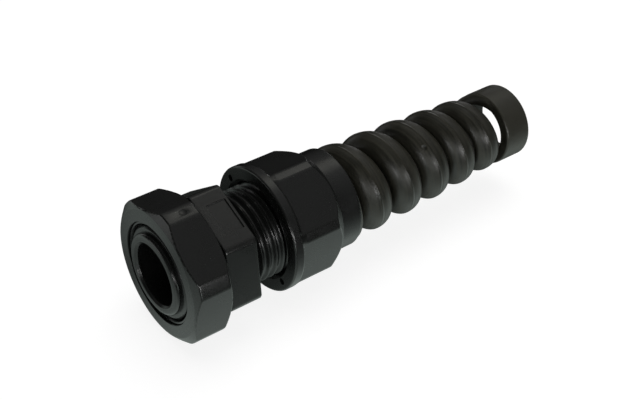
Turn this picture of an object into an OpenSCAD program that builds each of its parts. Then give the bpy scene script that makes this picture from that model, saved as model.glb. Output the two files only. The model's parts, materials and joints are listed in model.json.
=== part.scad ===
// Spiral strain-relief cable gland: locknut, body, sealing insert and dome nut with spiral.
// The axis lies along X, with the cable leaving towards +X. The origin is on the axis, in the
// plane of the flange face that seats on the panel.

/* [Entry end] */
// Outside diameter of the entry thread
entry_thread_d = 20; // [16:0.5:26]
// Wall between the entry thread and the cable bore
entry_wall = 3.35; // [2.5:0.05:4.5]
// Pitch of the entry thread
entry_pitch = 1.5; // [1:0.25:2]
// Length of the entry tube, from the panel seat to its end
entry_l = 9.9; // [7:0.1:16]
// Length of the plain lead at the end of the entry tube
lead_l = 1.2; // [0.6:0.1:2.4]
// Radial step from the entry thread down to the plain lead
lead_step = 1.2; // [0.6:0.1:1.8]

/* [Locknut] */
// Thickness of the locknut
locknut_l = 8.6; // [5:0.1:11]
// Wall between the locknut's thread and its flats
locknut_wall = 3.95; // [2.5:0.05:6]
// Radial depth turned off the locknut's corners
locknut_corner_cut = 0.85; // [0.1:0.05:1.2]
// Turn of the locknut about the axis
locknut_turn = 44; // [0:0.1:60]
// Clear gap between the locknut and the panel seat
seat_gap = 0.5; // [0.1:0.1:4]

/* [Body flange] */
// Length of the hexagon flange
flange_l = 7.3; // [5:0.1:12]
// Radial step from the clamp thread out to the flange's flats
flange_step = 2.05; // [1.5:0.05:5]
// Radial depth turned off the flange's corners
flange_corner_cut = 0.25; // [0.1:0.05:0.8]
// Turn of the flange about the axis
flange_turn = 24.8; // [0:0.1:60]
// Length of the sunk label place, across the flat
label_l = 7.4; // [4:0.1:9]
// Width of the sunk label place, along the axis
label_w = 4.4; // [2:0.1:6]
// Depth of the sunk label place
label_depth = 0.3; // [0.1:0.05:0.6]

/* [Clamp end] */
// Outside diameter of the clamp thread
clamp_thread_d = 20.2; // [18:0.1:26]
// Pitch of the clamp thread
clamp_pitch = 1.75; // [1.25:0.25:2]
// Length of the clamp thread
clamp_thread_l = 12; // [10:0.1:16]
// Number of clamping fingers
finger_count = 10; // [6:1:14]
// Length of the clamping fingers
finger_l = 7; // [5:0.1:8]
// Thickness of a clamping finger
finger_wall = 1.1; // [0.8:0.05:1.5]
// Width of the slot between two fingers
finger_slot = 1; // [0.6:0.1:1.6]

/* [Sealing insert] */
// Wall of the sealing insert
seal_wall = 1.8; // [1:0.1:2.4]
// Length by which the fingers reach past the sealing insert
seal_inset = 0.5; // [0.2:0.1:1.5]

/* [Dome nut] */
// Length of clamp thread left bare between the flange and the dome nut
bare_thread_l = 7.6; // [6:0.1:8.5]
// Wall between the dome nut's thread and its flats
dome_wall = 2; // [1.6:0.05:5]
// Length of the hexagon part with its skirt
dome_l = 13.8; // [12:0.1:18]
// Length of the round skirt in front of the flats
skirt_l = 1.9; // [1:0.1:3]
// Radial step from the turned corners out to the skirt
skirt_step = 0.25; // [0:0.05:0.6]
// Radial depth turned off the dome nut's corners
dome_corner_cut = 0.55; // [0.1:0.05:0.8]
// Turn of the dome nut about the axis
dome_turn = 43; // [0:0.1:60]
// Length of the round collar behind the hexagon part
collar_l = 5.45; // [4:0.05:8]
// Radial step from the flats down to the collar
collar_step = 1.2; // [0.6:0.05:2]
// Diameter of the cable bore in the collar
collar_bore_d = 13.2; // [12:0.1:14]

/* [Spiral] */
// Length of the spiral between the collar and the end ring
spiral_l = 44.8; // [35:0.1:60]
// Advance of the spiral in its first turn
spiral_pitch = 9.05; // [8:0.05:11]
// Half the shortening of the advance from one turn to the next
pitch_shrink = 0.15; // [0.01:0.01:0.3]
// Gap between two turns of the spiral, at the foot of the bead
bead_gap = 1; // [0.5:0.05:3]
// Radial step from the collar down to the bead's crest
bead_step = 0.5; // [0.1:0.05:1]
// Radial step from the cable bore out to the bead's foot
foot_step = 0.1; // [0.05:0.05:0.6]
// Axial distance from the collar to the bead's middle, on the +Y side
spiral_lead = 2.2; // [0:0.05:8]

/* [End ring] */
// Outside diameter of the end ring
ring_d = 17.2; // [16.4:0.1:20]
// Length of the end ring
ring_l = 6.85; // [4:0.05:9]
// Wall of the end ring
ring_wall = 2.3; // [2:0.05:3]

/* [Hidden] */
$fn = 96;

nylon = [0.16, 0.16, 0.16];
spiral_nylon = [0.19, 0.19, 0.18];
rubber = [0.1, 0.1, 0.11];

// Clearances, small edges and the form of a thread, its flank and crest as shares of the pitch
thread_clear = 0.2;
seal_clear = 0.1;
edge = 0.4;
overshoot = 1;
hex_corner = 1 / cos(30);
thread_depth = 0.8;
thread_flank = 0.35;
thread_crest = 0.15;

// Entry end and flange
entry_r = entry_thread_d / 2;
cable_r = entry_r - entry_wall;
lead_r = entry_r - lead_step;
clamp_r = clamp_thread_d / 2;
neck_l = 0.8;
flange_flat_r = clamp_r + flange_step;
flange_corner_r = flange_flat_r * hex_corner - flange_corner_cut;
flange_bevel = 0.35;
label_margin = 0.7;
label_x = flange_l - label_margin - label_w / 2;
label_turn = flange_turn + 90;

// Clamping fingers and sealing insert
finger_x = flange_l + clamp_thread_l;
finger_tip_x = finger_x + finger_l;
chamber_floor = 0.5;
chamber_x = flange_l + chamber_floor;
finger_step = 1;
finger_root = 0.4;
finger_r = clamp_r - finger_step;
chamber_r = finger_r - finger_wall;
cone_slope = 0.67;
tip_wall = 0.3;
finger_tip_r = chamber_r + tip_wall;
finger_cone_l = (finger_r - finger_tip_r) / cone_slope;
seal_x = chamber_x + seal_clear;
seal_l = finger_tip_x - seal_inset - seal_x;
seal_r = chamber_r - seal_clear;
seal_bore_r = seal_r - seal_wall;

// Locknut
locknut_bore_r = entry_r + thread_clear;
locknut_flat_r = locknut_bore_r + locknut_wall;
locknut_corner_r = locknut_flat_r * hex_corner - locknut_corner_cut;
locknut_rear_x = -seat_gap;
locknut_front_x = locknut_rear_x - locknut_l;
front_cone = 1.7;
front_cone_l = 0.95;
rear_bevel = 1.4;
rear_bevel_l = 0.9;
mouth_step = 0.85;
mouth_depth = 0.5;

// Dome nut
dome_x = flange_l + bare_thread_l;
dome_bore_r = clamp_r + thread_clear;
dome_flat_r = dome_bore_r + dome_wall;
dome_corner_r = dome_flat_r * hex_corner - dome_corner_cut;
hex_end_x = dome_x + dome_l;
rear_cone_l = 2.2;
skirt_r = dome_corner_r + skirt_step;
skirt_slope_l = 1.5;
collar_r = dome_flat_r - collar_step;
collar_x = hex_end_x + collar_l;
collar_bore_r = collar_bore_d / 2;
countersink = 0.8;
throat_land = 1.4;
throat_x = collar_x - throat_land;
throat_cone_l = (dome_bore_r - collar_bore_r) / cone_slope;
mark_d = 1.5;
mark_depth = 0.8;
mark_r = (dome_bore_r + dome_corner_r) / 2;

// Spiral and end ring
spiral_x = collar_x;
ring_x = spiral_x + spiral_l;
ring_end_x = ring_x + ring_l;
ring_r = ring_d / 2;
ring_bore_r = ring_r - ring_wall;
bite = 1.2;
bead_head_r = collar_r - bead_step;
tail_step = 0.15;
bead_tail_r = ring_r - tail_step;
taper_power = 1.6;
section_points = 13;
crest_share = 0.45;
front_power = 1.7;
rear_power = 2.2;
run_in_turn = 120;
turn_steps = 28;

function mix(a, b, t) = a + (b - a) * t;
function along_spiral(x) = pow(min(1, max(0, (x - spiral_x) / spiral_l)), taper_power);
function bead_outer(x) = mix(bead_head_r, bead_tail_r, along_spiral(x));
function bead_inner(x) = mix(collar_bore_r, ring_bore_r, along_spiral(x)) + foot_step;
function bead_x(angle) =
    let (turns = angle / 360)
    spiral_x + spiral_lead + spiral_pitch * turns - pitch_shrink * turns * turns;
function bead_half(angle) = (spiral_pitch - 2 * pitch_shrink * angle / 360 - bead_gap) / 2;
function angle_at(x) =
    let (room = pow(spiral_pitch, 2) - 4 * pitch_shrink * (x - spiral_x - spiral_lead))
    180 * (spiral_pitch - sqrt(room)) / pitch_shrink;
function run_in(angle) = min(1, max(0, 1 - (last_angle - angle) / run_in_turn));
function bead_front(angle) =
    max(mix(bead_x(angle) - bead_half(angle), ring_x + bite / 3, run_in(angle)), spiral_x - bite);
function bead_rear(angle) = min(bead_x(angle) + bead_half(angle), ring_x + bite);
first_angle = angle_at(spiral_x - (spiral_pitch - bead_gap + bite) / 2);
last_angle = angle_at(ring_x + 1.5 * bite);
function rounded(c, power) = pow(abs(c), 2 / power);

// The bead's section at a given turn angle: a flat foot, and a dome with its crest ahead of its middle
function bead_section(angle) =
    let (front = bead_front(angle), rear = bead_rear(angle))
    let (crest = mix(front, rear, crest_share))
    let (outer = bead_outer(crest), inner = bead_inner(crest))
    [for (k = [0 : section_points - 1])
        let (t = 180 * k / (section_points - 1))
        let (power = t < 90 ? rear_power : front_power)
        let (foot = t < 90 ? rear : front)
        let (x = mix(crest, foot, rounded(cos(t), power)))
        let (r = mix(inner, outer, rounded(sin(t), power)))
        [x, r * cos(angle), r * sin(angle)]];

// Ridges of a thread in a turned profile, one for each pitch, with the last one whole
function ridges(x0, x1, crest_r, pitch) =
    [for (k = [0 : floor((x1 - x0) / pitch) - 1])
        let (x = x0 + pitch * k, root_r = crest_r - thread_depth)
        each [
            [root_r, x],
            [crest_r, x + thread_flank * pitch],
            [crest_r, x + (thread_flank + thread_crest) * pitch],
            [root_r, x + (2 * thread_flank + thread_crest) * pitch]]];

// Stands a profile drawn as (radius, height), or an outline drawn as (y, z), along the X axis
module along_x() {
    rotate([90, 0, 90]) children();
}

module turned(profile) {
    along_x() rotate_extrude() polygon(profile);
}

module hex_bar(flat_r, x0, x1, turn) {
    translate([x0, 0, 0])
        along_x()
            rotate(turn)
                cylinder(r = flat_r * hex_corner, h = x1 - x0, $fn = 6);
}

module rod(r, x0, x1) {
    translate([x0, 0, 0]) along_x() cylinder(r = r, h = x1 - x0);
}

// Entry tube, clamp thread and fingers in one turned profile, with the threads as plain ridges
module body_stem() {
    turned(concat(
        [
            [0, -entry_l],
            [lead_r - edge, -entry_l],
            [lead_r, -entry_l + edge],
            [lead_r, -entry_l + lead_l]],
        ridges(-entry_l + lead_l, 0, entry_r, entry_pitch),
        [
            [entry_r - thread_depth, flange_l / 2],
            [clamp_r - thread_depth, flange_l / 2]],
        ridges(flange_l + neck_l, finger_x, clamp_r, clamp_pitch),
        [
            [finger_r, finger_x],
            [finger_r, finger_tip_x - finger_cone_l],
            [finger_tip_r, finger_tip_x],
            [0, finger_tip_x]]));
}

// Hexagon flange with its corners turned down
module body_flange() {
    intersection() {
        hex_bar(flange_flat_r, 0, flange_l, flange_turn);
        turned([
            [0, 0],
            [flange_corner_r - edge, 0],
            [flange_corner_r, edge],
            [flange_corner_r, flange_l - flange_bevel],
            [flange_corner_r - flange_bevel, flange_l],
            [0, flange_l],
        ]);
    }
}

// Cable bore, opening into the chamber that holds the sealing insert
module body_passage() {
    rod(cable_r, -entry_l - overshoot, chamber_x + overshoot);
    rod(chamber_r, chamber_x, finger_tip_x + overshoot);
    turned([
        [0, -entry_l - edge],
        [cable_r + 2 * edge, -entry_l - edge],
        [cable_r, -entry_l + edge],
        [0, -entry_l + edge],
    ]);
}

module finger_slots() {
    for (k = [0 : finger_count - 1])
        rotate([360 * k / finger_count, 0, 0])
            translate([finger_x + finger_root, 0, -finger_slot / 2])
                cube([finger_l - finger_root + overshoot, clamp_r, finger_slot]);
}

module label_place() {
    rotate([label_turn, 0, 0])
        translate([label_x - label_w / 2, flange_flat_r - label_depth, -label_l / 2])
            cube([label_w, label_depth + overshoot, label_l]);
}

module gland_body() {
    color(nylon)
        difference() {
            union() {
                body_stem();
                body_flange();
            }
            body_passage();
            finger_slots();
            label_place();
        }
}

module locknut() {
    color(nylon)
        difference() {
            intersection() {
                hex_bar(locknut_flat_r, locknut_front_x, locknut_rear_x, locknut_turn);
                turned([
                    [0, locknut_front_x],
                    [locknut_corner_r - front_cone, locknut_front_x],
                    [locknut_corner_r, locknut_front_x + front_cone_l],
                    [locknut_corner_r, locknut_rear_x - rear_bevel_l],
                    [locknut_corner_r - rear_bevel, locknut_rear_x],
                    [0, locknut_rear_x],
                ]);
            }
            rod(locknut_bore_r, locknut_front_x - overshoot, locknut_rear_x + overshoot);
            rod(locknut_bore_r + mouth_step, locknut_front_x - overshoot, locknut_front_x + mouth_depth);
        }
}

module sealing_insert() {
    color(rubber)
        turned([
            [seal_bore_r + edge, seal_x],
            [seal_r, seal_x],
            [seal_r, seal_x + seal_l],
            [seal_bore_r + edge, seal_x + seal_l],
            [seal_bore_r, seal_x + seal_l - edge],
            [seal_bore_r, seal_x + edge],
        ]);
}

// Envelope of the nut and its collar, turned about the axis
module dome_envelope() {
    turned([
        [0, dome_x],
        [skirt_r - edge, dome_x],
        [skirt_r, dome_x + edge],
        [skirt_r, dome_x + skirt_l],
        [dome_corner_r, dome_x + skirt_l + skirt_slope_l],
        [dome_corner_r, hex_end_x - rear_cone_l],
        [dome_flat_r - edge, hex_end_x],
        [collar_r, hex_end_x],
        [collar_r, collar_x - edge],
        [collar_r - edge, collar_x],
        [0, collar_x],
    ]);
}

// Flats, with the round skirt standing in front of them
module dome_flats() {
    hex_bar(dome_flat_r, dome_x + skirt_l, collar_x + overshoot, dome_turn);
    turned([
        [0, dome_x - overshoot],
        [skirt_r + overshoot, dome_x - overshoot],
        [skirt_r + overshoot, dome_x + skirt_l - edge],
        [dome_flat_r - edge, dome_x + skirt_l + skirt_slope_l],
        [0, dome_x + skirt_l + skirt_slope_l],
    ]);
}

// Thread bore, closing down a cone to the cable bore
module dome_passage() {
    turned([
        [0, dome_x - overshoot],
        [dome_bore_r + countersink, dome_x - overshoot],
        [dome_bore_r + countersink, dome_x],
        [dome_bore_r, dome_x + countersink],
        [dome_bore_r, throat_x - throat_cone_l],
        [collar_bore_r, throat_x],
        [collar_bore_r, collar_x + overshoot],
        [0, collar_x + overshoot],
    ]);
}

// Ejector marks in the front rim, at two opposite corners
module rim_marks() {
    for (side = [0, 180])
        rotate([dome_turn + side, 0, 0])
            translate([0, mark_r, 0])
                rod(mark_d / 2, dome_x - overshoot, dome_x + mark_depth);
}

// The bead, wound right-handed from inside the collar to inside the end ring
module spiral() {
    steps = ceil((last_angle - first_angle) / 360 * turn_steps);
    n = section_points;
    points = [for (i = [0 : steps]) each bead_section(mix(first_angle, last_angle, i / steps))];
    sides = [for (i = [0 : steps - 1], k = [0 : n - 1])
        let (a = i * n + k, b = i * n + (k + 1) % n)
        each [[a, b + n, b], [a, a + n, b + n]]];
    start_cap = [[for (k = [0 : n - 1]) k]];
    end_cap = [[for (k = [n - 1 : -1 : 0]) steps * n + k]];
    polyhedron(points, concat(sides, start_cap, end_cap));
}

module end_ring() {
    turned([
        [ring_bore_r, ring_x],
        [ring_r, ring_x],
        [ring_r, ring_end_x - edge],
        [ring_r - edge, ring_end_x],
        [ring_bore_r + edge, ring_end_x],
        [ring_bore_r, ring_end_x - edge],
    ]);
}

module dome_nut() {
    color(spiral_nylon)
        union() {
            difference() {
                intersection() {
                    dome_envelope();
                    dome_flats();
                }
                dome_passage();
                rim_marks();
            }
            spiral();
            end_ring();
        }
}

gland_body();
locknut();
sealing_insert();
dome_nut();
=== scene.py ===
import json
import math

import bmesh
import bpy
import numpy as np
from mathutils import Matrix, Vector


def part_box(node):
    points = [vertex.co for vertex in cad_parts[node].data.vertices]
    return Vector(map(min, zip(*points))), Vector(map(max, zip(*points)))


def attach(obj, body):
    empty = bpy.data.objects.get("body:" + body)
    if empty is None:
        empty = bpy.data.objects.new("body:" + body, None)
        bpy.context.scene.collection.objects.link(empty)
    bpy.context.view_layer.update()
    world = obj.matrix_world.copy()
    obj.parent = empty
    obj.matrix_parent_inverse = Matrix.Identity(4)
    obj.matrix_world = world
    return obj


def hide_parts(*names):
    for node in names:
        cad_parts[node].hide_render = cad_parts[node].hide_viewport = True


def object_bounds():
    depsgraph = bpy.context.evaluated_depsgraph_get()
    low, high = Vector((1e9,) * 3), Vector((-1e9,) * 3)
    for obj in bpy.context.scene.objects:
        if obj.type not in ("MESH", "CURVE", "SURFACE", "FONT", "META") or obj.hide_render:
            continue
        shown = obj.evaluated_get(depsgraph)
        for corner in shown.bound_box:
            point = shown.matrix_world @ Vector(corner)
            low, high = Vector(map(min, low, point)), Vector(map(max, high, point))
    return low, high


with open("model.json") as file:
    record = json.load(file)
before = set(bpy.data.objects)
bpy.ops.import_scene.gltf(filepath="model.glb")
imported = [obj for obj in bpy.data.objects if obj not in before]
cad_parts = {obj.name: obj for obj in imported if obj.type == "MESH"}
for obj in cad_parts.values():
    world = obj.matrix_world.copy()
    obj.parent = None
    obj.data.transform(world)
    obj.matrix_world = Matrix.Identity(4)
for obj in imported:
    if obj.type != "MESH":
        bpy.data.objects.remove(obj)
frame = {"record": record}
cad_low, cad_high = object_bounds()

# A black nylon cable gland with a spiral strain relief: locknut, body, seal and dome nut.
# Pieces are made in millimetres and scaled to metres when they are set on their bodies. The axis is X,
# with the cable leaving towards +X, and angles go round it from +Y towards +Z, in degrees.

MM = 0.001


def reach(node):
    """A node's first and last place along the axis, in millimetres."""
    low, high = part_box(node)
    return low.x / MM, high.x / MM


# Places and bores that the frame gives
entry_end, finger_tip = reach("gland_body")
locknut_front, locknut_rear = reach("locknut")
seal_front, seal_rear = reach("sealing_insert")
dome_front, ring_end = reach("dome_nut")
mounts = frame["record"]["mounts"]
bores = {mount["name"]: mount["dims"]["r_mm"] for mount in mounts if mount["kind"] == "bore"}
cable_r = bores["cable_entry"]
ring_bore_r = bores["cable_exit"]

# Entry tube, with a plain lead before its thread
entry_r = 10.0
entry_pitch = 1.5
entry_depth = 0.8
entry_fade = 0.5
thread_land = 1.1
lead_r = 8.8
lead_l = 1.2
lip_edge = 0.8
mouth_flare = 0.5

# Locknut
locknut_flat_r = 14.15
locknut_corner_r = 15.49
locknut_turn = 44.0
locknut_bore_r = 10.2
front_cone = 1.7
front_cone_l = 0.95
rear_bevel = 1.4
rear_bevel_l = 0.9
mouth_step = 0.85
mouth_depth = 0.5
mouth_groove = 0.15
mouth_bevel = 0.35
mouth_bevel_l = 2 * mouth_bevel

# Flange and its bare label place
flange_l = 7.3
flange_flat_r = 12.15
flange_corner_r = 13.78
flange_turn = 24.8
flange_edge = 0.3
label_l = 7.4
label_w = 4.4
label_depth = 0.3
label_edge = label_depth / 3
label_x = 4.4
label_turn = flange_turn + 90

# Clamp thread, fingers and seal
clamp_r = 10.1
clamp_pitch = 1.75
clamp_depth = 0.85
clamp_fade = 0.7
clamp_end = 19.3
neck_r = 9.3
neck_l = 0.8
finger_r = 9.1
finger_tip_r = 8.3
finger_cone_l = 1.19
finger_root = 0.4
finger_count = 10
finger_slot = 1.0
chamber_r = 8.0
chamber_x = 7.8
seal_r = 7.9
seal_bore_r = 6.1

# Dome nut
dome_flat_r = 12.3
dome_corner_r = 13.65
dome_turn = 43.0
dome_bore_r = 10.3
countersink = 0.8
skirt_r = 13.9
skirt_l = 1.9
skirt_slope_l = 1.5
hex_l = 13.8
hex_end = dome_front + hex_l
rear_cone_l = 2.2
collar_r = 11.1
collar_l = 5.45
collar_x = hex_end + collar_l
collar_bore_r = 6.6
throat_land = 1.4
throat_cone_l = 5.52
mark_r = 11.98
mark_d = 1.5
mark_depth = 0.8

# Spiral and end ring; the bead's ends bite into the collar and into the ring
ring_l = 6.85
ring_r = 8.6
ring_x = ring_end - ring_l
spiral_lead = 2.2
spiral_pitch = 9.05
pitch_shrink = 0.15
bead_gap = 1.0
bead_head_r = 10.6
bead_tail_r = 8.45
bead_taper = 1.6
bead_crest_share = 0.45
front_roundness = 1.7
rear_roundness = 2.2
run_in_turns = 1 / 3
foot_step = 0.1
bite = 1.2

# How narrow the thread ridges are on the body and in the nuts, and how far a nut's thread fades
body_ridge_narrowing = 1.4
nut_ridge_narrowing = 1.2
nut_thread_fade = 1.0

# Edge radii and blends of the mouldings
tiny_edge = 0.1
fine_edge = 0.2
soft_edge = 0.4
facet_blend = 0.14

# Gate marks that the moulds left, each with its place along the axis, angle, radius and depth
locknut_dimple = (-4.2, 104.0, 2.6, 0.16)
spiral_dimple = (55.3, 130.0, 1.2, 0.3)

# Flow lines along the spiral, the fine line along its turns and the paler end ring
streak_w = 0.45
streaks_per_turn = 3.0
streak_detail = 3.0
streak_contrast = 2.2
streak_depth = 0.02
ridge_across = -0.55
ridge_w = 0.25
ridge_height = 0.11
ridge_gloss = 0.8
ring_pale = 0.35

# Weights of the clouds, the grain and the worn edges in a moulded skin's tone and in its dullness
TONE_WEIGHTS = (0.7, 0.3, 0.5)
DULLNESS_WEIGHTS = (0.6, 0.4, -0.4)
CLOUD_DETAIL = 4.0
GRAIN_DETAIL = 2.0

# Bends in degrees from which an edge is shaded sharp, and at which it is fully worn
SHARP_BEND = 34.0
WORN_BEND = 26.0

# Mesh density: points round the axis, steps along the profiles, the count of steps past which a straight
# stretch is divided only near its ends, and the rows and columns of sheets and balls
COLUMNS = 400
BORE_COLUMNS = 200
ARC_POINTS = 6
PROFILE_STEP = 0.5
FLANGE_STEP = 0.4
LOCKNUT_STEP = 0.3
DOME_STEP = 0.25
SPARSE_COUNT = 3
THREAD_ROWS = 112
THREAD_COLUMNS = 160
BEAD_ROWS = 600
BEAD_COLUMNS = 44
BALL_ROWS = 32
BALL_COLUMNS = 48

# How far pieces and cutters reach past what they join or cut, and how close points are that get welded
OVERSHOOT = 1.0
WELD = 1e-4

# Angle that each side of a hexagon takes up
HEX_ANGLE = 60.0


class Field:
    """A number that varies over a node tree; arithmetic on it adds Math nodes."""

    def __init__(self, socket):
        self.socket = socket

    def math(self, operation, *others):
        tree = self.socket.id_data
        node = tree.nodes.new("ShaderNodeMath")
        node.operation = operation
        for slot, value in zip(node.inputs, (self, *others)):
            if isinstance(value, Field):
                tree.links.new(value.socket, slot)
            else:
                slot.default_value = value
        return Field(node.outputs[0])

    def __add__(self, other):
        return self.math("ADD", other)

    def __sub__(self, other):
        return self.math("SUBTRACT", other)

    def __mul__(self, other):
        return self.math("MULTIPLY", other)

    def __truediv__(self, other):
        return self.math("DIVIDE", other)

    def __pow__(self, other):
        return self.math("POWER", other)

    def __neg__(self):
        return self.math("MULTIPLY", -1.0)

    def least(self, other):
        return self.math("MINIMUM", other)

    def most(self, other):
        return self.math("MAXIMUM", other)

    def clamp(self):
        return self.most(0.0).least(1.0)

    def bell(self):
        """1 where this value is 0, falling away smoothly on both sides."""
        return (-(self * self)).math("EXPONENT")

    def to(self, other, share):
        """Goes from this value to another as share goes from 0 to 1."""
        return self + (other - self) * share


class ShapeTree:
    """A geometry node tree with named number inputs, ending in a plain mesh of one material."""

    def __init__(self, name, labels):
        self.group = bpy.data.node_groups.new(name, "GeometryNodeTree")
        sockets = self.group.interface
        self.keys = {}
        for label in labels:
            made = sockets.new_socket(label, in_out="INPUT", socket_type="NodeSocketFloat")
            self.keys[label] = made.identifier
        made = sockets.new_socket("Material", in_out="INPUT", socket_type="NodeSocketMaterial")
        self.keys["Material"] = made.identifier
        sockets.new_socket("Geometry", in_out="OUTPUT", socket_type="NodeSocketGeometry")
        self.entry = self.group.nodes.new("NodeGroupInput")

    def __getitem__(self, label):
        return Field(self.entry.outputs[label])

    def add(self, kind, **links):
        """Adds a node, with its inputs linked to sockets or fields, or set to values, by name."""
        node = self.group.nodes.new(kind)
        for label, value in links.items():
            slot = node.inputs[label.replace("_", " ")]
            if isinstance(value, Field):
                value = value.socket
            if isinstance(value, bpy.types.NodeSocket):
                self.group.links.new(value, slot)
            else:
                slot.default_value = value
        return node

    def vector(self, x, y, z):
        return self.add("ShaderNodeCombineXYZ", X=x, Y=y, Z=z).outputs[0]

    def closed_sheet(self, rows, columns):
        """A sheet that is rolled up and shut at both ends: its mesh, its run and turn from 0 to 1, and
        the factor that draws its first and last rows together."""
        sheet = self.add("GeometryNodeMeshGrid", Vertices_X=rows, Vertices_Y=columns + 1)
        position = self.add("GeometryNodeInputPosition")
        split = self.add("ShaderNodeSeparateXYZ", Vector=position.outputs[0])
        row = (Field(split.outputs["X"]) + 0.5) * (rows - 1)
        # The first and last rows shut the ends, so the run goes over the rows between them
        run = ((row - 1) / (rows - 3)).clamp()
        turn = Field(split.outputs["Y"]) + 0.5
        shut = row.least(-row + (rows - 1)).clamp()
        return sheet.outputs["Mesh"], run, turn, shut

    def wrap(self, mesh, x, r, angle):
        """Moves the sheet's points to a place along the axis, a radius and an angle in turns."""
        radians = angle * math.tau
        spot = self.vector(x, r * radians.math("COSINE"), r * radians.math("SINE"))
        return self.add("GeometryNodeSetPosition", Geometry=mesh, Position=spot).outputs[0]

    def finish(self, geometry):
        """Welds the seams, makes the instances real and sets the material."""
        welded = self.add("GeometryNodeMergeByDistance", Geometry=geometry, Distance=WELD)
        real = self.add("GeometryNodeRealizeInstances", Geometry=welded.outputs[0])
        smooth = self.add("GeometryNodeSetShadeSmooth", Geometry=real.outputs[0])
        dressed = self.add("GeometryNodeSetMaterial", Geometry=smooth.outputs[0])
        self.group.links.new(self.entry.outputs["Material"], dressed.inputs["Material"])
        out = self.group.nodes.new("NodeGroupOutput")
        self.group.links.new(dressed.outputs[0], out.inputs[0])

    def make(self, name, material, **sizes):
        """A plain mesh object made by the tree from sizes in millimetres."""
        thing = new_object(name, bpy.data.meshes.new(name))
        tool = thing.modifiers.new("shape", "NODES")
        tool.node_group = self.group
        for label, value in sizes.items():
            tool[self.keys[label.replace("_", " ")]] = float(value)
        tool[self.keys["Material"]] = material
        bake(thing)
        return face_outwards(thing)


def new_object(name, data):
    """An object for a mesh, lamp or camera, linked to the scene."""
    thing = bpy.data.objects.new(name, data)
    bpy.context.scene.collection.objects.link(thing)
    return thing


def bake(thing):
    """Turns an object's modifiers into plain mesh."""
    bpy.context.view_layer.update()
    evaluated = thing.evaluated_get(bpy.context.evaluated_depsgraph_get())
    mesh = bpy.data.meshes.new_from_object(evaluated)
    thing.modifiers.clear()
    thing.data = mesh


def face_outwards(thing):
    """Welds a closed mesh's doubled points and turns its faces outwards."""
    shell = bmesh.new()
    shell.from_mesh(thing.data)
    bmesh.ops.remove_doubles(shell, verts=shell.verts, dist=WELD)
    bmesh.ops.recalc_face_normals(shell, faces=shell.faces)
    shell.to_mesh(thing.data)
    shell.free()
    return thing


def combine(base, tool, operation):
    """Joins a closed solid to another, or cuts it away, and removes the tool."""
    step = base.modifiers.new("combine", "BOOLEAN")
    step.operation = operation
    step.solver = "MANIFOLD"
    step.object = tool
    bake(base)
    bpy.data.objects.remove(tool)


def add_all(base, *tools):
    for tool in tools:
        combine(base, tool, "UNION")


def cut_all(base, *tools):
    for tool in tools:
        combine(base, tool, "DIFFERENCE")


def outline(*corners, step=PROFILE_STEP):
    """Points along a profile of (x, r) or (x, r, fillet) corners, with each fillet an arc. Sloped
    stretches are divided evenly, and long ones along or square to the axis only near their ends."""
    spots = [np.array(corner[:2], float) for corner in corners]
    path = [spots[0]]
    for before, here, after, corner in zip(spots, spots[1:], spots[2:], corners[1:]):
        if len(corner) < 3:
            path.append(here)
            continue
        back = (before - here) / np.linalg.norm(before - here)
        ahead = (after - here) / np.linalg.norm(after - here)
        half = math.acos(np.clip(back @ ahead, -1, 1)) / 2
        cut = corner[2] / math.tan(half)
        legs = np.array([here + back * cut, here, here + ahead * cut])
        weight = math.sin(half)
        for along in np.linspace(0, 1, ARC_POINTS):
            shares = np.array([(1 - along) ** 2, 2 * along * (1 - along) * weight, along**2])
            path.append(shares @ legs / shares.sum())
    path.append(spots[-1])
    points = [path[0]]
    for start, end in zip(path, path[1:]):
        length = np.linalg.norm(end - start)
        count = max(1, math.ceil(length / step))
        shares = [(index + 1) / count for index in range(count)]
        if count > SPARSE_COUNT and np.isclose(end, start).any():
            shares = (step / length, 1 - step / length, 1)
        points += [start + (end - start) * share for share in shares]
    return np.array(points)


def smooth_least(first, second, width):
    """The lesser of two values, with a soft change from one to the other."""
    share = np.clip(0.5 + 0.5 * (second - first) / width, 0, 1)
    return second + (first - second) * share - width * share * (1 - share)


def smooth_most(first, second, width):
    return -smooth_least(-first, -second, width)


def revolve(name, profile, limit=None, columns=COLUMNS):
    """A closed solid turned about the axis from a profile of (x, r) points that starts and ends on
    the axis. A limit of (x, degrees) holds the radius in, as the flats of a hexagon do."""
    angles = np.arange(columns) * 360 / columns
    x = np.repeat(profile[1:-1, :1], columns, axis=1)
    r = np.repeat(profile[1:-1, 1:], columns, axis=1)
    if limit is not None:
        r = smooth_least(r, limit(x, angles[None, :]), facet_blend)
    turn = np.radians(angles)[None, :]
    rings = np.stack([x, r * np.cos(turn), r * np.sin(turn)], axis=-1).reshape(-1, 3)
    points = [*rings, (profile[0, 0], 0, 0), (profile[-1, 0], 0, 0)]
    rows = len(profile) - 2
    last_row = (rows - 1) * columns
    first_pole = rows * columns
    last_pole = first_pole + 1
    faces = []
    for here in range(columns):
        beside = (here + 1) % columns
        faces.append((first_pole, beside, here))
        faces.append((last_pole, last_row + here, last_row + beside))
        for row in range(rows - 1):
            near = row * columns
            far = near + columns
            faces.append((near + here, near + beside, far + beside, far + here))
    mesh = bpy.data.meshes.new(name)
    mesh.from_pydata(points, [], faces)
    return face_outwards(new_object(name, mesh))


def rod(name, r, start, end):
    return revolve(name, np.array([(start, 0), (start, r), (end, r), (end, 0)]), columns=BORE_COLUMNS)


def hexagon(flat_r, turn):
    """Radius of a hexagon's flats at an angle, with a corner at the given turn."""
    def radius(angle):
        from_middle = np.mod(angle - turn, HEX_ANGLE) - HEX_ANGLE / 2
        return flat_r / np.cos(np.radians(from_middle))
    return radius


def round_over(distance, edge):
    """How far a rounded edge draws in at a distance from the end face."""
    inside = np.clip(edge - distance, 0, edge)
    return edge - np.sqrt(edge**2 - inside**2)


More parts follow.
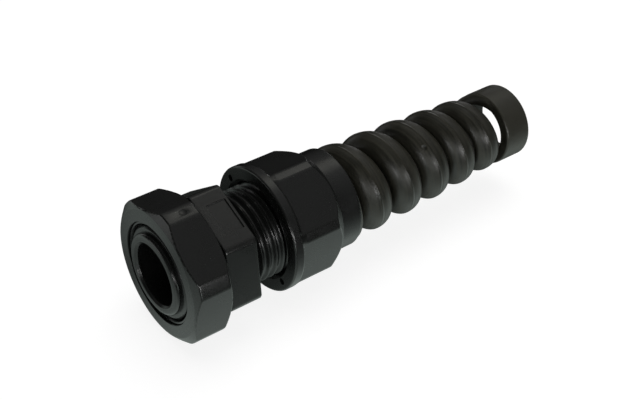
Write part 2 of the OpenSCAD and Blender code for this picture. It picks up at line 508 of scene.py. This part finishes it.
def around(angle, x, r):
    """Where a thing drawn about the origin goes when it stands on the gland at a place and angle."""
    return Matrix.Rotation(math.radians(angle), 4, "X") @ Matrix.Translation((x, r, 0))


def object_of(shell, name):
    """A new object of a finished bmesh."""
    mesh = bpy.data.meshes.new(name)
    shell.to_mesh(mesh)
    shell.free()
    return new_object(name, mesh)


def soft_box(name, size, edge):
    """A box about the origin with its edges bevelled."""
    shell = bmesh.new()
    bmesh.ops.create_cube(shell, size=1, matrix=Matrix.Diagonal((*size, 1)))
    bmesh.ops.bevel(shell, geom=shell.edges[:], offset=edge, segments=1, affect="EDGES")
    return object_of(shell, name)


def dimple(thing, x, angle, ball_r, depth):
    """A ball that cuts a shallow round mark where a ray towards the axis meets a moulding."""
    turn = math.radians(angle)
    outwards = Vector((0, math.cos(turn), math.sin(turn)))
    outside = Vector((x, 0, 0)) + outwards * 2 * locknut_corner_r
    _, spot, normal, _ = thing.ray_cast(outside, -outwards)
    centre = spot + normal * (ball_r - depth)
    shell = bmesh.new()
    bmesh.ops.create_uvsphere(shell, u_segments=BALL_COLUMNS, v_segments=BALL_ROWS, radius=ball_r,
                              matrix=Matrix.Translation(centre))
    return object_of(shell, "dimple")


def thread_tree():
    """A threaded rod: rounded ridges wound right-handed, fading towards the bare stretch at both ends."""
    tree = ShapeTree("Threaded rod", [
        "Start", "End", "Crest", "Depth", "Pitch", "Narrowing", "Bare", "Fade"])
    mesh, run, turn, shut = tree.closed_sheet(THREAD_ROWS, THREAD_COLUMNS)
    x = tree["Start"].to(tree["End"], run)
    wave = ((x / tree["Pitch"] - turn) * math.tau).math("COSINE") * 0.5 + 0.5
    ridge = wave ** tree["Narrowing"]
    nearest_end = (x - tree["Start"]).least(tree["End"] - x)
    ridge = ridge.least((nearest_end - tree["Bare"]) / tree["Fade"]).most(0.0)
    r = tree["Crest"] - tree["Depth"] + tree["Depth"] * ridge
    tree.finish(tree.wrap(mesh, x, r * shut, turn))
    return tree


def spiral_tree():
    """The strain relief's bead: a dome on a flat foot, wound from inside the collar to inside the end
    ring, with a pitch that shortens, a crest that tapers and a front that runs into the ring."""
    tree = ShapeTree("Spiral bead", [
        "Start", "End", "Lead", "Pitch", "Shrink", "Gap", "Bite", "Run In", "Crest Share",
        "Head Radius", "Tail Radius", "Head Foot", "Tail Foot",
        "Taper", "Front Roundness", "Rear Roundness"])
    mesh, run, turn, shut = tree.closed_sheet(BEAD_ROWS, BEAD_COLUMNS)
    start, end, pitch, shrink = tree["Start"], tree["End"], tree["Pitch"], tree["Shrink"]
    bite_l = tree["Bite"]

    def turns_at(x):
        """Solves the middle's place, lead + pitch * turns - shrink * turns squared, for the turns."""
        room = pitch * pitch - shrink * 4 * (x - start - tree["Lead"])
        return (pitch - room.math("SQRT")) / (shrink * 2)

    # The bead's middle starts inside the collar and stops inside the ring
    first_middle = start - (pitch - tree["Gap"] + bite_l) / 2
    last_middle = end + bite_l * 1.5
    last = turns_at(last_middle)
    wound = turns_at(first_middle).to(last, run)
    centre = start + tree["Lead"] + pitch * wound - shrink * wound * wound
    half_w = (pitch - shrink * wound * 2 - tree["Gap"]) / 2
    # Over the last stretch the front runs in, to just inside the ring
    last_front = end + bite_l / 3
    run_in = (-(last - wound) / tree["Run In"] + 1).clamp()
    front = (centre - half_w).to(last_front, run_in).most(start - bite_l)
    rear = (centre + half_w).least(end + bite_l)
    crest = front.to(rear, tree["Crest Share"])
    taper = ((crest - start) / (end - start)).clamp() ** tree["Taper"]
    outer = tree["Head Radius"].to(tree["Tail Radius"], taper)
    inner = tree["Head Foot"].to(tree["Tail Foot"], taper)
    # The bead's section is a half superellipse, with a roundness of its own before and behind the crest
    side = (turn * math.tau).math("COSINE")
    lift = (turn * math.tau).math("SINE").most(0.0)
    rearward = side.math("GREATER_THAN", 0.0)
    power = tree["Front Roundness"].to(tree["Rear Roundness"], rearward).math("POWER", -1.0) * 2
    x = crest.to(front.to(rear, rearward), side.math("ABSOLUTE") ** power * shut)
    r = inner.to(outer, lift ** power * shut)
    tree.finish(tree.wrap(mesh, x, r, wound))
    return tree


def slot_tree():
    """Cutters for the slots between the clamping fingers, set round the axis."""
    tree = ShapeTree("Finger slots", ["Count", "Start", "End", "Width", "Inner", "Outer"])
    index = Field(tree.add("GeometryNodeInputIndex").outputs[0])
    length = tree["End"] - tree["Start"]
    size = tree.vector(length, tree["Outer"] - tree["Inner"], tree["Width"])
    cutter = tree.add("GeometryNodeMeshCube", Size=size)
    shift = tree.vector(tree["Start"] + length / 2, (tree["Inner"] + tree["Outer"]) / 2, 0.0)
    moved = tree.add("GeometryNodeTransform", Geometry=cutter.outputs["Mesh"], Translation=shift)
    spots = tree.add("GeometryNodePoints", Count=tree["Count"])
    turned = tree.vector(index / tree["Count"] * math.tau, 0.0, 0.0)
    rotation = tree.add("FunctionNodeEulerToRotation", Euler=turned)
    copies = tree.add("GeometryNodeInstanceOnPoints", Points=spots.outputs[0],
                      Instance=moved.outputs[0], Rotation=rotation.outputs[0])
    tree.finish(copies.outputs[0])
    return tree


class Surface:
    """A material under construction: its shader, and nodes that read the piece's own coordinates."""

    # Places of the colour sockets on a Mix node, which share their names with those of other kinds
    MIX_LOW = 6
    MIX_HIGH = 7
    MIX_RESULT = 2

    def __init__(self, name, **constants):
        self.material = bpy.data.materials.new(name)
        self.material.use_nodes = True
        self.tree = self.material.node_tree
        self.shader = self.tree.nodes["Principled BSDF"]
        for label, value in constants.items():
            self.shader.inputs[label.replace("_", " ")].default_value = value

    def add(self, kind, **links):
        node = self.tree.nodes.new(kind)
        for label, value in links.items():
            self.link(value, node.inputs[label.replace("_", " ")])
        return node

    def link(self, value, slot):
        if isinstance(value, Field):
            value = value.socket
        if isinstance(value, bpy.types.NodeSocket):
            self.tree.links.new(value, slot)
        else:
            slot.default_value = value

    def coordinates(self):
        return self.tree.nodes.new("ShaderNodeTexCoord").outputs["Object"]

    def attribute(self, name):
        node = self.tree.nodes.new("ShaderNodeAttribute")
        node.attribute_name = name
        return Field(node.outputs["Fac"])

    def colour(self, share, low, high):
        mix = self.tree.nodes.new("ShaderNodeMix")
        mix.data_type = "RGBA"
        self.link(share, mix.inputs["Factor"])
        mix.inputs[self.MIX_LOW].default_value = (*low, 1)
        mix.inputs[self.MIX_HIGH].default_value = (*high, 1)
        self.link(mix.outputs[self.MIX_RESULT], self.shader.inputs["Base Color"])

    def roughness(self, share, low, high):
        span = self.add("ShaderNodeMapRange", Value=share, To_Min=low, To_Max=high)
        self.link(span.outputs["Result"], self.shader.inputs["Roughness"])

    def relief(self, height, distance):
        bump = self.add("ShaderNodeBump", Height=height, Distance=distance, Strength=1.0)
        self.link(bump.outputs["Normal"], self.shader.inputs["Normal"])


def skin_group():
    """What every moulded surface shows: cloudy tone, fine grain and polished edges."""
    group = bpy.data.node_groups.new("Moulded skin", "ShaderNodeTree")
    sockets = group.interface
    sockets.new_socket("Coordinate", in_out="INPUT", socket_type="NodeSocketVector")
    for label in ("Cloud Scale", "Grain Scale", "Edge"):
        sockets.new_socket(label, in_out="INPUT", socket_type="NodeSocketFloat")
    for label in ("Tone", "Dullness", "Grain"):
        sockets.new_socket(label, in_out="OUTPUT", socket_type="NodeSocketFloat")
    entry = group.nodes.new("NodeGroupInput")
    out = group.nodes.new("NodeGroupOutput")

    def noise(scale, detail):
        node = group.nodes.new("ShaderNodeTexNoise")
        group.links.new(entry.outputs["Coordinate"], node.inputs["Vector"])
        group.links.new(entry.outputs[scale], node.inputs["Scale"])
        node.inputs["Detail"].default_value = detail
        return Field(node.outputs["Fac"])

    cloud = noise("Cloud Scale", CLOUD_DETAIL)
    grain = noise("Grain Scale", GRAIN_DETAIL)
    edge = Field(entry.outputs["Edge"])

    def weighed(cloud_weight, grain_weight, edge_weight):
        return (cloud * cloud_weight + grain * grain_weight + edge * edge_weight).clamp()

    shown = {"Tone": weighed(*TONE_WEIGHTS), "Dullness": weighed(*DULLNESS_WEIGHTS), "Grain": grain}
    for label, value in shown.items():
        group.links.new(value.socket, out.inputs[label])
    return group


def wound_streaks(surface):
    """Flow lines along the spiral, a fine raised line along its turns and the end ring, from 0 to 1."""
    split = surface.add("ShaderNodeSeparateXYZ", Vector=surface.coordinates())
    x, y, z = (Field(split.outputs[axis]) for axis in "XYZ")
    room = (x / MM - (collar_x + spiral_lead)) * (-4 * pitch_shrink) + spiral_pitch**2
    wound = (-room.most(0.0).math("SQRT") + spiral_pitch) / (2 * pitch_shrink)
    angle = z.math("ARCTAN2", y) / math.tau
    across = ((wound - angle + 0.5).math("FRACT") - 0.5) * spiral_pitch
    flow = surface.add("ShaderNodeCombineXYZ", X=across / streak_w, Y=wound * streaks_per_turn, Z=0.0)
    noise = surface.add("ShaderNodeTexNoise", Vector=flow.outputs[0], Scale=1.0, Detail=streak_detail)
    ring = (x / MM - ring_x + soft_edge).clamp()
    ridge = ((across - ridge_across) / ridge_w).bell() * (-ring + 1.0)
    return Field(noise.outputs["Fac"]), ridge, ring


def moulded(name, skin, cloud_size, grain_size, dark, light, gloss, relief, wound=False, **constants):
    """A moulded surface on the shared skin, with its sizes in millimetres."""
    surface = Surface(name, **constants)
    look = surface.tree.nodes.new("ShaderNodeGroup")
    look.node_tree = skin
    surface.link(surface.coordinates(), look.inputs["Coordinate"])
    surface.link(1 / (cloud_size * MM), look.inputs["Cloud Scale"])
    surface.link(1 / (grain_size * MM), look.inputs["Grain Scale"])
    surface.link(surface.attribute("worn_edge"), look.inputs["Edge"])
    tone, dullness, grain = (Field(look.outputs[label]) for label in ("Tone", "Dullness", "Grain"))
    height = grain * relief
    if wound:
        streak, ridge, ring = wound_streaks(surface)
        turns = -ring + 1.0
        tone = (tone + (streak - 0.5) * turns * streak_contrast + ring * ring_pale).clamp()
        dullness = (dullness + (streak - 0.5) * turns * streak_contrast - ridge * ridge_gloss).clamp()
        height = height + streak * turns * streak_depth + ridge * ridge_height
    surface.colour(tone, dark, light)
    surface.roughness(dullness, *gloss)
    surface.relief(height, MM)
    return surface.material


skin = skin_group()
nylon = moulded(
    "satin_nylon", skin, cloud_size=5.0, grain_size=0.25,
    dark=(0.003, 0.0033, 0.0031), light=(0.008, 0.0086, 0.0079), gloss=(0.17, 0.42), relief=0.012,
    Specular_IOR_Level=0.5)
spiral_nylon = moulded(
    "matt_spiral_nylon", skin, cloud_size=3.0, grain_size=0.2,
    dark=(0.006, 0.0062, 0.0048), light=(0.028, 0.0268, 0.0192), gloss=(0.28, 0.58), relief=0.02,
    wound=True, Specular_IOR_Level=0.5)
seal_rubber = moulded(
    "seal_rubber", skin, cloud_size=4.0, grain_size=0.3,
    dark=(0.006, 0.006, 0.0065), light=(0.016, 0.016, 0.017), gloss=(0.6, 0.8), relief=0.03,
    Specular_IOR_Level=0.4)

threaded_rod = thread_tree()
spiral_bead = spiral_tree()
slot_cutters = slot_tree()


def mark_edges(thing):
    """Shades a finished moulding smooth up to its sharp edges, and notes how worn each point is."""
    mesh = thing.data
    shell = bmesh.new()
    shell.from_mesh(mesh)
    wear = np.zeros(len(shell.verts))
    for edge in shell.edges:
        if len(edge.link_faces) == 2:
            bend = math.degrees(edge.calc_face_angle_signed(0.0))
            for point in edge.verts:
                wear[point.index] = max(wear[point.index], bend / WORN_BEND)
    shell.free()
    note = mesh.attributes.new("worn_edge", "FLOAT", "POINT")
    note.data.foreach_set("value", np.clip(wear, 0, 1).astype(np.float32))
    mesh.shade_smooth()
    mesh.set_sharp_from_angle(angle=math.radians(SHARP_BEND))


def set_piece(thing, body, node, materials):
    """Scales a finished piece to metres and sets it on its body in place of its solid."""
    mark_edges(thing)
    thing.data.transform(Matrix.Scale(MM, 4))
    thing.data.materials.clear()
    for material in materials:
        thing.data.materials.append(material)
    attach(thing, body)
    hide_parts(node)


def make_locknut():
    """The hexagon nut with a conical front, a counterbored mouth, a thread and a gate mark."""
    flats = hexagon(locknut_flat_r, locknut_turn)
    nut = revolve("locknut_moulding", outline(
        (locknut_front, 0),
        (locknut_front, locknut_corner_r - front_cone, soft_edge),
        (locknut_front + front_cone_l, locknut_corner_r, soft_edge),
        (locknut_rear - rear_bevel_l, locknut_corner_r, soft_edge),
        (locknut_rear, locknut_corner_r - rear_bevel, fine_edge),
        (locknut_rear, 0),
        step=LOCKNUT_STEP), limit=lambda x, angle: flats(angle))
    thread = threaded_rod.make(
        "nut_thread", nylon, Start=locknut_front - OVERSHOOT, End=locknut_rear + OVERSHOOT,
        Crest=locknut_bore_r + entry_depth, Depth=entry_depth, Pitch=entry_pitch,
        Narrowing=nut_ridge_narrowing, Bare=OVERSHOOT + mouth_depth + mouth_bevel_l, Fade=nut_thread_fade)
    mouth_r = locknut_bore_r + mouth_step
    mouth_x = locknut_front + mouth_depth
    mouth = revolve("nut_mouth", outline(
        (locknut_front - OVERSHOOT, 0),
        (locknut_front - OVERSHOOT, mouth_r + tiny_edge),
        (locknut_front, mouth_r + tiny_edge),
        (locknut_front + tiny_edge, mouth_r),
        (mouth_x + mouth_groove, mouth_r),
        (mouth_x, mouth_r - mouth_groove),
        (mouth_x, locknut_bore_r + mouth_bevel),
        (mouth_x + mouth_bevel_l, locknut_bore_r),
        (mouth_x + mouth_bevel_l, 0)))
    cut_all(nut, thread, mouth, dimple(nut, *locknut_dimple))
    set_piece(nut, "lock", "locknut", [nylon])


def make_body():
    """The flange between its two threads, with the fingers, the cable passage and the label place."""
    flats = hexagon(flange_flat_r, flange_turn)

    def flange_limit(x, angle):
        nearest_face = np.minimum(x, flange_l - x)
        return flats(angle) - round_over(nearest_face, flange_edge)

    body = revolve("gland_body_moulding", outline(
        (0, 0),
        (0, flange_corner_r, flange_edge),
        (flange_l, flange_corner_r, flange_edge),
        (flange_l, 0),
        step=FLANGE_STEP), limit=flange_limit)
    land_x = entry_end + lead_l
    lead_root = land_x + lead_l
    lead = revolve("lead", outline(
        (entry_end, 0),
        (entry_end, lead_r, lip_edge),
        (lead_root, lead_r),
        (lead_root, 0)))
    land = revolve("thread_start", outline(
        (land_x, 0),
        (land_x, entry_r - soft_edge, tiny_edge),
        (land_x + soft_edge, entry_r, tiny_edge),
        (land_x + thread_land, entry_r, fine_edge),
        (land_x + thread_land, 0)))
    entry_thread = threaded_rod.make(
        "entry_thread", nylon, Start=land_x + fine_edge, End=flange_l / 2, Crest=entry_r,
        Depth=entry_depth, Pitch=entry_pitch, Narrowing=body_ridge_narrowing, Bare=0, Fade=entry_fade)
    # The neck starts inside the flange and runs on into the clamp thread
    neck = rod("neck", neck_r, flange_l / 2, flange_l + 2 * neck_l)
    clamp_thread = threaded_rod.make(
        "clamp_thread", nylon, Start=flange_l + neck_l, End=clamp_end, Crest=clamp_r,
        Depth=clamp_depth, Pitch=clamp_pitch, Narrowing=body_ridge_narrowing, Bare=0, Fade=clamp_fade)
    fingers = revolve("fingers", outline(
        (clamp_end - OVERSHOOT, 0),
        (clamp_end - OVERSHOOT, finger_r),
        (finger_tip - finger_cone_l, finger_r, soft_edge),
        (finger_tip, finger_tip_r, tiny_edge),
        (finger_tip, 0)), columns=BORE_COLUMNS)
    add_all(body, lead, land, entry_thread, neck, clamp_thread, fingers)
    passage = revolve("passage", outline(
        (entry_end - OVERSHOOT, 0),
        (entry_end - OVERSHOOT, cable_r + mouth_flare),
        (entry_end, cable_r + mouth_flare, mouth_flare / 2),
        (entry_end + mouth_flare, cable_r, mouth_flare / 2),
        (chamber_x, cable_r),
        (chamber_x, chamber_r),
        (finger_tip + OVERSHOOT, chamber_r),
        (finger_tip + OVERSHOOT, 0)), columns=BORE_COLUMNS)
    slots = slot_cutters.make(
        "finger_slots", nylon, Count=finger_count, Start=clamp_end + finger_root,
        End=finger_tip + OVERSHOOT, Width=finger_slot, Inner=seal_bore_r, Outer=clamp_r)
    label = soft_box("label_place", (label_w, 2 * label_depth, label_l), label_edge)
    label.data.transform(around(label_turn, label_x, flange_flat_r))
    cut_all(body, passage, slots, label)
    set_piece(body, "gland", "gland_body", [nylon])


def make_seal():
    """The rubber sleeve inside the fingers."""
    seal = revolve("sealing_sleeve", outline(
        (seal_front, 0),
        (seal_front, seal_r, soft_edge),
        (seal_rear, seal_r, soft_edge),
        (seal_rear, 0)), columns=BORE_COLUMNS)
    bore = revolve("seal_bore", outline(
        (seal_front - OVERSHOOT, 0),
        (seal_front - OVERSHOOT, seal_bore_r + soft_edge),
        (seal_front, seal_bore_r + soft_edge, soft_edge / 2),
        (seal_front + soft_edge, seal_bore_r, soft_edge / 2),
        (seal_rear - soft_edge, seal_bore_r, soft_edge / 2),
        (seal_rear, seal_bore_r + soft_edge, soft_edge / 2),
        (seal_rear + OVERSHOOT, seal_bore_r + soft_edge),
        (seal_rear + OVERSHOOT, 0)), columns=BORE_COLUMNS)
    cut_all(seal, bore)
    set_piece(seal, "gland", "sealing_insert", [seal_rubber])


def make_dome_nut():
    """The compression nut, from its round skirt to its collar, with the spiral and the end ring."""
    flats = hexagon(dome_flat_r, dome_turn)
    slope_start = dome_front + skirt_l - soft_edge
    slope_end = dome_front + skirt_l + skirt_slope_l

    def dome_limit(x, angle):
        share = np.clip((x - slope_start) / (slope_end - slope_start), 0, 1)
        skirt = skirt_r + OVERSHOOT + (dome_flat_r - soft_edge - skirt_r - OVERSHOOT) * share
        return smooth_most(skirt, flats(angle), facet_blend)

    nut = revolve("dome_nut_moulding", outline(
        (dome_front, 0),
        (dome_front, skirt_r, soft_edge),
        (dome_front + skirt_l, skirt_r, soft_edge),
        (slope_end, dome_corner_r, soft_edge),
        (hex_end - rear_cone_l, dome_corner_r, soft_edge),
        (hex_end, dome_flat_r - soft_edge, fine_edge),
        (hex_end, collar_r, fine_edge),
        (collar_x, collar_r, soft_edge),
        (collar_x, 0),
        step=DOME_STEP), limit=dome_limit)
    throat_x = collar_x - throat_land
    thread_end = throat_x - throat_cone_l
    passage = revolve("throat", outline(
        (dome_front - OVERSHOOT, 0),
        (dome_front - OVERSHOOT, dome_bore_r + countersink),
        (dome_front, dome_bore_r + countersink),
        (dome_front + countersink, dome_bore_r),
        (thread_end, dome_bore_r),
        (throat_x, collar_bore_r, soft_edge),
        (collar_x + OVERSHOOT, collar_bore_r),
        (collar_x + OVERSHOOT, 0)), columns=BORE_COLUMNS)
    thread = threaded_rod.make(
        "dome_thread", nylon, Start=dome_front - OVERSHOOT, End=thread_end,
        Crest=dome_bore_r + clamp_depth, Depth=clamp_depth, Pitch=clamp_pitch,
        Narrowing=nut_ridge_narrowing, Bare=OVERSHOOT, Fade=nut_thread_fade)
    marks = []
    for side in (0, 180):
        mark = rod("rim_mark", mark_d / 2, dome_front - OVERSHOOT, dome_front + mark_depth)
        mark.data.transform(around(dome_turn + side, 0, mark_r))
        marks.append(mark)
    cut_all(nut, passage, thread, *marks)
    bead = spiral_bead.make(
        "bead", spiral_nylon, Start=collar_x, End=ring_x, Lead=spiral_lead, Pitch=spiral_pitch,
        Shrink=pitch_shrink, Gap=bead_gap, Bite=bite, Run_In=run_in_turns, Crest_Share=bead_crest_share,
        Head_Radius=bead_head_r, Tail_Radius=bead_tail_r, Head_Foot=collar_bore_r + foot_step,
        Tail_Foot=ring_bore_r + foot_step, Taper=bead_taper, Front_Roundness=front_roundness,
        Rear_Roundness=rear_roundness)
    ring = revolve("end_ring", outline(
        (ring_x, 0),
        (ring_x, ring_r, soft_edge),
        (ring_end, ring_r, soft_edge),
        (ring_end, 0)))
    ring_bore = revolve("ring_bore", outline(
        (ring_x - OVERSHOOT, 0),
        (ring_x - OVERSHOOT, ring_bore_r),
        (ring_end - soft_edge, ring_bore_r),
        (ring_end, ring_bore_r + soft_edge),
        (ring_end + OVERSHOOT, ring_bore_r + soft_edge),
        (ring_end + OVERSHOOT, 0)), columns=BORE_COLUMNS)
    cut_all(ring, ring_bore)
    add_all(nut, bead, ring)
    cut_all(nut, dimple(nut, *spiral_dimple))
    set_piece(nut, "dome", "dome_nut", [nylon, spiral_nylon])
    # Faces behind the collar take the second material
    for face in nut.data.polygons:
        face.material_index = int(face.center.x > (collar_x + fine_edge) * MM)


make_locknut()
make_body()
make_seal()
make_dome_nut()

# Studio, in metres: a pale floor, a dark room with a pale ceiling, lamps and cards on all sides, and the
# camera of the photograph
WHITE = (1, 1, 1, 1)

# Floor as the camera and the plain light see it
FLOOR_SIZE = 3.0
FLOOR_GAP = 0.2 * MM
PAPER_COLOUR = (0.86, 0.86, 0.86, 1)
PAPER_ROUGHNESS = 0.9
PAPER_GLOW = 0.86
SHADOW_COLOUR = (0.3, 0.3, 0.3, 1)

# Floor in the gloss, a painted reflection: painted light before and behind the gland, painted shade under
# it
# and a painted gleam where the low lamp's reflection would fall
FLOOR_LIGHT = 0.95
FLOOR_TINT = (0.88, 1.0, 0.94, 1)
FLOOR_MIDDLE = -12 * MM
FLOOR_FALLOFF = 22 * MM
FLOOR_BACK = 0.65
BACK_LEFT = 40 * MM
BACK_DEPTH = 30 * MM
SHADE = 0.8
SHADE_BEFORE = 9 * MM
SHADE_BEHIND = 40 * MM
SHADE_START = -9 * MM
SHADE_RISE = 9 * MM
GLEAM = 4.5
GLEAM_PLACE = -10 * MM
GLEAM_WIDTH = 15 * MM
GLEAM_START = -60 * MM
GLEAM_RISE = 30 * MM

# Room, with its ceiling by the direction of sight
WALL_LIGHT = 0.02
CEILING_LIGHT = 0.42
CEILING_POWER = 1.5
CEILING_START = -0.2
CEILING_RISE = 0.6

# Camera
CAMERA_AZIMUTH = -37.5
CAMERA_ELEVATION = 35.49
CAMERA_ROLL = -0.1
CAMERA_TARGET = Vector((31.1, 0, 0)) * MM
CAMERA_DISTANCE = 261.2 * MM
CAMERA_LENS = 68.95
CAMERA_SHIFT = 0.0027
CAMERA_NEAR = 10 * MM


def by_ray(tree, rest, **shown):
    """Shows a shader of its own to each named kind of ray, and one to all the rest of the light."""
    path = tree.nodes.new("ShaderNodeLightPath")
    for kind, shader in shown.items():
        mix = tree.nodes.new("ShaderNodeMixShader")
        tree.links.new(path.outputs[f"Is {kind} Ray"], mix.inputs["Fac"])
        tree.links.new(rest.outputs[0], mix.inputs[1])
        tree.links.new(shader.outputs[0], mix.inputs[2])
        rest = mix
    return rest


def coordinate_fields(tree, coordinates):
    """X, Y and Z of a material's or a world's coordinates."""
    source = tree.nodes.new("ShaderNodeTexCoord")
    split = tree.nodes.new("ShaderNodeSeparateXYZ")
    tree.links.new(source.outputs[coordinates], split.inputs[0])
    return [Field(split.outputs[axis]) for axis in "XYZ"]


def seen_paper(tree):
    """White paper that takes a faint shadow."""
    shadow = tree.nodes.new("ShaderNodeBsdfDiffuse")
    shadow.inputs["Color"].default_value = SHADOW_COLOUR
    white = tree.nodes.new("ShaderNodeEmission")
    white.inputs["Strength"].default_value = PAPER_GLOW
    seen = tree.nodes.new("ShaderNodeAddShader")
    tree.links.new(shadow.outputs[0], seen.inputs[0])
    tree.links.new(white.outputs[0], seen.inputs[1])
    return seen


def painted_floor_reflection(tree):
    """The floor in the gloss, a painted reflection: painted light brightest before the gland and to the
    left behind it, a painted shadow under it, and a painted gleam of the low lamp."""
    x, y, _ = coordinate_fields(tree, "Object")
    before = (-(y - FLOOR_MIDDLE).math("ABSOLUTE") / FLOOR_FALLOFF).math("EXPONENT")
    behind = (-x / BACK_LEFT).clamp() * (y / BACK_DEPTH).clamp() * FLOOR_BACK
    aside = (y / SHADE_BEHIND).most(-y / SHADE_BEFORE)
    # Painted shadow of the gland in the floor's reflection, dim under it
    shade = aside.bell() * ((x - SHADE_START) / SHADE_RISE).clamp() * SHADE
    # Painted light in the reflection, brightest before the gland and to the left behind it
    painted_shine = before.most(behind) * (-shade + 1.0) * FLOOR_LIGHT
    # Painted gleam of the low lamp in the floor's reflection
    beside = (x - GLEAM_PLACE) / GLEAM_WIDTH
    gleam = beside.bell() * ((-y + GLEAM_START) / GLEAM_RISE).clamp() * GLEAM
    # An emission paints this light and shade into the gloss, though the floor is no lamp
    mirrored = tree.nodes.new("ShaderNodeEmission")
    mirrored.inputs["Color"].default_value = FLOOR_TINT
    tree.links.new((painted_shine + gleam).socket, mirrored.inputs["Strength"])
    return mirrored


def make_floor():
    """A sheet of paper under the gland, which looks different to the camera and in the gloss, where it
    shows painted light and shade.
    """
    half = FLOOR_SIZE / 2
    low = cad_low.z - FLOOR_GAP
    corners = [(-half, -half, low), (half, -half, low), (half, half, low), (-half, half, low)]
    mesh = bpy.data.meshes.new("floor")
    mesh.from_pydata(corners, [], [(0, 1, 2, 3)])
    floor = new_object("floor", mesh)
    paper = bpy.data.materials.new("floor_paper")
    paper.use_nodes = True
    tree = paper.node_tree
    sheet = tree.nodes["Principled BSDF"]
    sheet.inputs["Base Color"].default_value = PAPER_COLOUR
    sheet.inputs["Roughness"].default_value = PAPER_ROUGHNESS
    # The gloss sees the painted reflection; the camera sees white paper with its real shadow
    mix = by_ray(tree, sheet, Glossy=painted_floor_reflection(tree), Camera=seen_paper(tree))
    tree.links.new(mix.outputs[0], tree.nodes["Material Output"].inputs["Surface"])
    mesh.materials.append(paper)


def make_world():
    """A dark room with a ceiling that pales to the right, white where the camera looks past the floor."""
    world = bpy.data.worlds.new("studio")
    bpy.context.scene.world = world
    world.use_nodes = True
    tree = world.node_tree
    room = tree.nodes["Background"]
    room.inputs["Color"].default_value = WHITE
    x, _, z = coordinate_fields(tree, "Generated")
    right = ((x - CEILING_START) / CEILING_RISE).clamp()
    glow = z.clamp() ** CEILING_POWER * right * CEILING_LIGHT + WALL_LIGHT
    tree.links.new(glow.socket, room.inputs["Strength"])
    backdrop = tree.nodes.new("ShaderNodeBackground")
    backdrop.inputs["Color"].default_value = WHITE
    mix = by_ray(tree, room, Camera=backdrop)
    tree.links.new(mix.outputs[0], tree.nodes["World Output"].inputs["Surface"])


def make_lamp(name, offset, size, power, colour=(1, 1, 1), mirrored=True):
    """An area lamp that faces the middle of the gland, and shows in its gloss or doesn't."""
    data = bpy.data.lights.new(name, "AREA")
    data.shape = "RECTANGLE"
    data.size, data.size_y = size
    data.energy = power
    data.color = colour
    lamp = new_object(name, data)
    lamp.location = CAMERA_TARGET + Vector(offset)
    lamp.rotation_mode = "QUATERNION"
    lamp.rotation_quaternion = (-Vector(offset)).to_track_quat("-Z", "Y")
    lamp.visible_glossy = mirrored


def make_camera():
    """The camera that was fitted to the photograph."""
    azimuth = math.radians(CAMERA_AZIMUTH)
    elevation = math.radians(CAMERA_ELEVATION)
    level = math.cos(elevation)
    back = Vector((math.sin(azimuth) * level, -math.cos(azimuth) * level, math.sin(elevation)))
    right = Vector((math.cos(azimuth), math.sin(azimuth), 0))
    up = back.cross(right)
    axes = Matrix((right, up, back)).transposed().to_4x4()
    roll = Matrix.Rotation(math.radians(CAMERA_ROLL), 4, "Z")
    data = bpy.data.cameras.new("photo_camera")
    data.lens = CAMERA_LENS
    data.shift_x = CAMERA_SHIFT
    data.shift_y = CAMERA_SHIFT
    data.clip_start = CAMERA_NEAR
    camera = new_object("photo_camera", data)
    camera.matrix_world = Matrix.Translation(CAMERA_TARGET + back * CAMERA_DISTANCE) @ axes @ roll
    bpy.context.scene.camera = camera


make_floor()
make_world()
make_lamp("softbox", offset=(0.5, 0.283, 0.82), size=(0.36, 0.5), power=0.46, colour=(1, 1, 0.9))
make_lamp("overhead_fill", offset=(0.1, 0.1, 1.0), size=(1.0, 1.0), power=5.0, mirrored=False)
make_lamp("low_lamp", offset=(0.05, -0.6, 0.03), size=(0.1, 0.2), power=1.2)
make_lamp("left_panel", offset=(-0.855, 0.494, 0.156), size=(0.55, 0.25), power=0.55)
make_lamp("front_card", offset=(-0.5, -0.85, 0.08), size=(0.7, 0.36), power=1.2)
make_lamp("left_low_lamp", offset=(-0.8, -0.58, 0.03), size=(0.13, 0.13), power=1.2)
make_lamp("back_card", offset=(-0.05, 1.0, 0.15), size=(0.4, 0.35), power=0.22)
make_lamp("back_lamp", offset=(0.76, 0.64, 0.08), size=(0.18, 0.18), power=0.15)
make_camera()
bpy.context.scene.view_settings.view_transform = "Standard"
